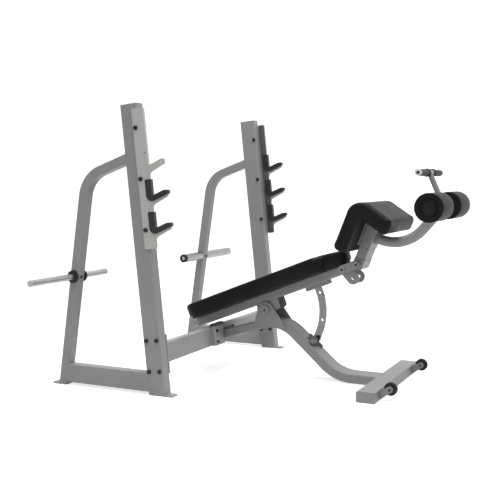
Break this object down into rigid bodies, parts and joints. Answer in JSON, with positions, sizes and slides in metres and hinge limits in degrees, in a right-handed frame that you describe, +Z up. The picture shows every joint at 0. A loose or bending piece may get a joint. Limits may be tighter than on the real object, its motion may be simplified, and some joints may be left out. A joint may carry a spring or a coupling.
{
  "type": "adjustable weight bench",
  "caption": "Adjustable bench for barbell lifts: leaning uprights with bar hooks, tilting pad on a bent spine with a pinned arc adjuster, and a folding leg holder with foam rollers.",
  "frame": {"origin": "bottom centre of the whole bench's bounding box, on the floor", "axes": "+X towards the foot end with the leg holder, +Y to the lying person's left, +Z up"},
  "size_m": [1.6258, 1.744, 1.1996],
  "materials": {
    "silver_paint": "satin silver-grey powder coat",
    "catch_paint": "warm grey powder coat",
    "plated_steel": "dull zinc plate",
    "chrome": "bright chrome plate",
    "dark_bolt": "black oxide",
    "black_plastic": "matte moulded black",
    "black_vinyl": "fine-grained black vinyl over foam",
    "pad_board": "plywood board wrapped in black vinyl",
    "foam": "closed-cell foam, dark grey",
    "wheel_tyre": "matte black"
  },
  "bodies": {
    "frame": {"upright_right": "silver_paint", "upright_left": "silver_paint", "upright_caps": "silver_paint", "rear_leg_right": "silver_paint", "rear_leg_left": "silver_paint", "base_rail_right": "silver_paint", "base_rail_left": "silver_paint", "floor_plates": "silver_paint", "catch_plate_right": "catch_paint", "catch_plate_left": "catch_paint", "catch_liners_right": "black_plastic", "catch_liners_left": "black_plastic", "catch_bolts": "dark_bolt", "storage_bar_right": "plated_steel", "storage_bar_left": "plated_steel", "storage_collars_right": "black_plastic", "storage_sleeves_left": "silver_paint", "storage_ring_left": "black_plastic", "storage_set_screws": "dark_bolt", "cross_beam": "silver_paint", "beam_end_plates": "silver_paint", "beam_bolts": "dark_bolt", "spine_flange": "silver_paint", "saddle_channel": "silver_paint", "spine_and_front_leg": "silver_paint", "pivot_plates": "silver_paint", "pivot_pin": "silver_paint", "adjuster_stands": "silver_paint", "pin_socket": "silver_paint", "front_foot": "silver_paint", "front_foot_caps": "silver_paint", "wheel_forks": "silver_paint", "wheel_axles": "dark_bolt"},
    "bench": {"bench_tube": "silver_paint", "bench_tube_cap": "black_plastic", "bench_lugs": "silver_paint", "arc_bar": "plated_steel", "arc_mount": "silver_paint", "arc_stop_pin": "plated_steel", "pad_board": "pad_board", "bench_pad": "black_vinyl", "lobe_plates": "silver_paint", "link_plates": "silver_paint", "hinge_pins": "silver_paint"},
    "pull_pin": {"pull_pin": "plated_steel", "pull_pin_knob": "plated_steel"},
    "leg_holder": {"hinge_block": "silver_paint", "holder_post": "silver_paint", "knee_bracket": "silver_paint", "knee_pad": "black_vinyl", "roller_arm": "silver_paint", "roller_axle": "chrome", "handle": "chrome", "handle_grips": "black_plastic"},
    "roller_right": {"roller_right": "foam"},
    "roller_left": {"roller_left": "foam"},
    "wheel_right": {"wheel_tyre_right": "wheel_tyre", "wheel_hub_right": "black_plastic"},
    "wheel_left": {"wheel_tyre_left": "wheel_tyre", "wheel_hub_left": "black_plastic"}
  },
  "joints": [
    {"name": "bench_tilt", "type": "hinge", "parent": "frame", "child": "bench", "pos_m": [-0.03136, 0, 0.301], "axis": [0, 1, 0], "range_deg": [0, 21.4]},
    {"name": "pull_pin_slide", "type": "slide", "parent": "frame", "child": "pull_pin", "axis": [0, 1, 0], "range_m": [0, 0.013]},
    {"name": "leg_holder_fold", "type": "hinge", "parent": "bench", "child": "leg_holder", "pos_m": [0.39704, 0, 0.52474], "axis": [0, 1, 0], "range_deg": [0, 45]},
    {"name": "roller_right_spin", "type": "hinge", "parent": "leg_holder", "child": "roller_right", "pos_m": [0.7546, -0.168, 0.77898], "axis": [0, 1, 0], "continuous": true},
    {"name": "roller_left_spin", "type": "hinge", "parent": "leg_holder", "child": "roller_left", "pos_m": [0.7546, 0.168, 0.77898], "axis": [0, 1, 0], "continuous": true},
    {"name": "wheel_right_spin", "type": "hinge", "parent": "frame", "child": "wheel_right", "pos_m": [0.61164, -0.252, 0.049], "axis": [0, 1, 0], "continuous": true},
    {"name": "wheel_left_spin", "type": "hinge", "parent": "frame", "child": "wheel_left", "pos_m": [0.61164, 0.252, 0.049], "axis": [0, 1, 0], "continuous": true}
  ]
}
